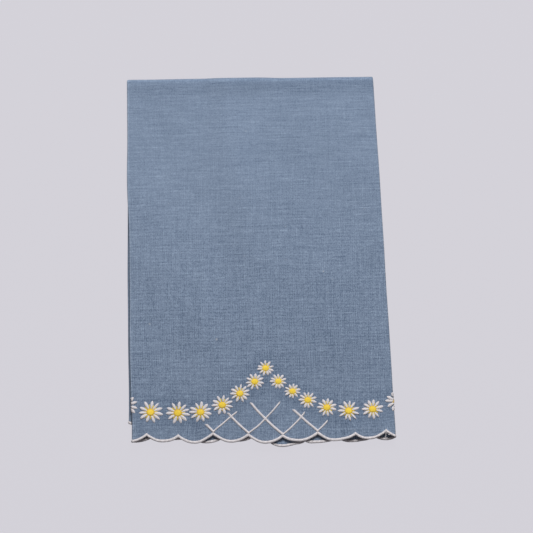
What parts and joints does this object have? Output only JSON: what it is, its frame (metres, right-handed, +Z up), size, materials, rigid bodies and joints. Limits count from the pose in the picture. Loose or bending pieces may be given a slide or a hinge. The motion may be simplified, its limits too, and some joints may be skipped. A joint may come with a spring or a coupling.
{
  "type": "guest towel",
  "caption": "Folded linen guest towel with scalloped white edging, an embroidered row of daisies and a small trellis at the hem.",
  "frame": {"origin": "on the surface that the folded towel lies on, under the middle of its outline", "axes": "+X across the towel to the right, +Y along it from the scalloped hem to the top fold, +Z up through its layers"},
  "size_m": [0.1964, 0.271, 0.0099],
  "materials": {
    "blue_linen": "matte, plain weave of chambray-blue linen with slubs",
    "white_thread": "soft sheen, off-white satin stitch",
    "yellow_thread": "soft sheen, yellow satin stitch"
  },
  "bodies": {
    "root": {"towel_cloth": "blue_linen"}
  },
  "joints": []
}
